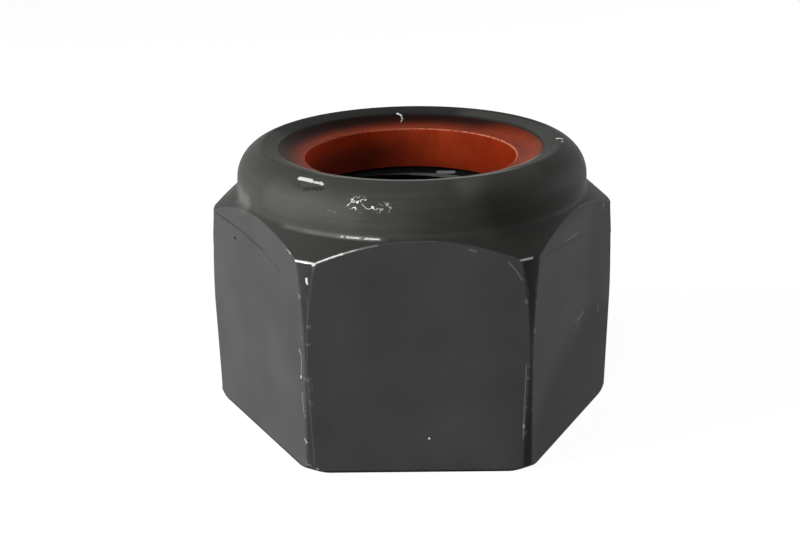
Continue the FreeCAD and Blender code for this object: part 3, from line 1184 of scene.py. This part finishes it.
def ring_shade(tree, spot, colour, top):
    reach = number(tree, "MULTIPLY_ADD", spot.fine, SHADE_WOBBLE, spot.radius)
    reach = number(tree, "MULTIPLY_ADD", ramp(tree, spot.x, *LESS_SHADE_RIGHT), -LESS_SHADE_BY, reach)
    reach = number(tree, "MULTIPLY_ADD", ramp(tree, spot.x, *MORE_SHADE_LEFT), MORE_SHADE_BY, reach)
    lip_shade = product(tree, ramp(tree, reach, *SHADE_UNDER_LIP), top)
    colour = blend(tree, number(tree, "MULTIPLY", lip_shade, SHADE_UNDER_LIP_STRENGTH), colour, RING_SHADE_UNDER_LIP)
    wall_shade = product(tree, ramp(tree, spot.height, *WALL_SHADE_BELOW), ramp(tree, spot.x, *WALL_SHADE_LEFT))
    return blend(tree, number(tree, "MULTIPLY", wall_shade, WALL_SHADE_STRENGTH), colour, RING_LOW_WALL_SHADE)


# %% [markdown]
# The round edge between the wall and the dish has a painted highlight, most of all on the right, and the
# scratch at the back is bright. Brightness and roughness are given as a gain and the level that it adds to.

# %% The ring's material
EDGE_CIRCLE = (RING_HOLE / MM + 0.12, RING_TOP / MM - 0.10)
EDGE_HIGHLIGHT_WIDTH = (0.12, 0.05)
EDGE_GAPS = (0.25, 0.6)
EDGE_BRIGHT_FROM = (-7.0, 5.0)
EDGE_BRIGHTNESS = (0.60, 0.32)
PLASTIC_ROUGHNESS = (0.12, 0.36)
PLASTIC_BUMP = (0.2, 0.03 * MM)


def colour_the_ring():
    tree, shader = material_for(ring, "ring_plastic")
    spot = RingSpot(tree)
    colour, top = plastic_colour(tree, spot)
    colour = ring_shade(tree, spot, colour, top)
    edge = ramp(tree, near_circle(tree, spot, *EDGE_CIRCLE), *EDGE_HIGHLIGHT_WIDTH)
    bright = number(tree, "MULTIPLY_ADD", ramp(tree, spot.x, *EDGE_BRIGHT_FROM), *EDGE_BRIGHTNESS)
    colour = blend(tree, product(tree, edge, ramp(tree, spot.fine, *EDGE_GAPS), bright), colour, RING_EDGE_HIGHLIGHT)
    colour = blend(tree, strokes(tree, spot.point, 0.0, RING_SCRATCH), colour, SCRATCH_LIGHT)
    put(tree, shader["Base Color"], colour)
    put(tree, shader["Roughness"], number(tree, "MULTIPLY_ADD", spot.fine, *PLASTIC_ROUGHNESS))
    shader["Specular IOR Level"].default_value = DULL_SPECULAR
    add_relief(tree, shader, spot.fine, *PLASTIC_BUMP)
    return len(tree.nodes)


print("nodes in the ring's material", colour_the_ring())

# %% [markdown]
# ## The studio
# The background is white through what the camera, and a shiny surface, see of the floor and the world. The
# light on the nut itself stays at a plain level. The floor lies a hair below the nut, so the two faces
# don't fight for the same place, and it can be seen through from underneath.

# %% Floor and world
FLOOR_SIZE = 3.0
FLOOR_GLOW = 0.92
FLOOR_COLOUR = (0.25, 0.25, 0.25, 1)
WHITE = (1, 1, 1, 1)
FLOOR_GAP = 0.02 * MM
WORLD_FILL = 0.11


def seen_directly(tree):
    """1 for a ray from the camera, from a glossy surface or through a clear one, and 0 for diffuse light."""
    path = tree.nodes.new("ShaderNodeLightPath").outputs
    rays = [path["Is Camera Ray"], path["Is Glossy Ray"], path["Is Transmission Ray"]]
    return total(tree, "MAXIMUM", rays)


def white_floor():
    deselect_all()
    bpy.ops.mesh.primitive_plane_add(size=FLOOR_SIZE, location=(0, 0, -FLOOR_GAP))
    floor = bpy.context.object
    floor.name = "floor"
    tree, shader = material_for(floor, "white_floor")
    shader["Base Color"].default_value = FLOOR_COLOUR
    shader["Roughness"].default_value = 1.0
    shader["Specular IOR Level"].default_value = 0.0
    shader["Emission Color"].default_value = WHITE
    put(tree, shader["Emission Strength"], number(tree, "MULTIPLY", seen_directly(tree), FLOOR_GLOW))
    below = tree.nodes.new("ShaderNodeNewGeometry").outputs["Backfacing"]
    put(tree, shader["Alpha"], number(tree, "SUBTRACT", 1.0, below))


def white_world():
    world = bpy.data.worlds.new("studio")
    bpy.context.scene.world = world
    world.use_nodes = True
    tree = world.node_tree
    sky = tree.nodes["Background"].inputs
    sky["Color"].default_value = WHITE
    put(tree, sky["Strength"], number(tree, "MULTIPLY_ADD", seen_directly(tree), 1 - WORLD_FILL, WORLD_FILL))


white_floor()
white_world()
print("the world's own light", WORLD_FILL)

# %% [markdown]
# The lamps are large and square, as softboxes are: a strong one on the left, a weaker one on the right and
# a faint one high in front. The first two stand low, so the flats on both sides and the collar's shoulder
# get a wide, soft light, and the front flat stays darker.

# %% Softboxes
LAMP_DISTANCE = 0.4
LAMP_SIZE = 0.20


def softbox(name, azimuth, elevation, level):
    """A square lamp that faces the nut. A level of 1 lights a surface that faces it as it is coloured."""
    turn, rise = math.radians(azimuth), math.radians(elevation)
    away = Vector((math.cos(turn) * math.cos(rise), math.sin(turn) * math.cos(rise), math.sin(rise)))
    data = bpy.data.lights.new(name, "AREA")
    data.shape = "SQUARE"
    data.size = LAMP_SIZE
    data.energy = level * math.pi ** 2 * LAMP_DISTANCE ** 2
    lamp = bpy.data.objects.new(name, data)
    lamp.location = away * LAMP_DISTANCE + Vector((0, 0, TOP / 2))
    lamp.rotation_mode = "QUATERNION"
    lamp.rotation_quaternion = away.to_track_quat("Z", "Y")
    bpy.context.scene.collection.objects.link(lamp)


softbox("softbox_left", 198, 12, 0.95)
softbox("softbox_right", 20, 12, 0.36)
softbox("softbox_front", 260, 40, 0.12)
print("lamps", len(bpy.data.lights))

# %% [markdown]
# The standard view shows a colour as it is written.

# %% The view
bpy.context.scene.view_settings.view_transform = "Standard"
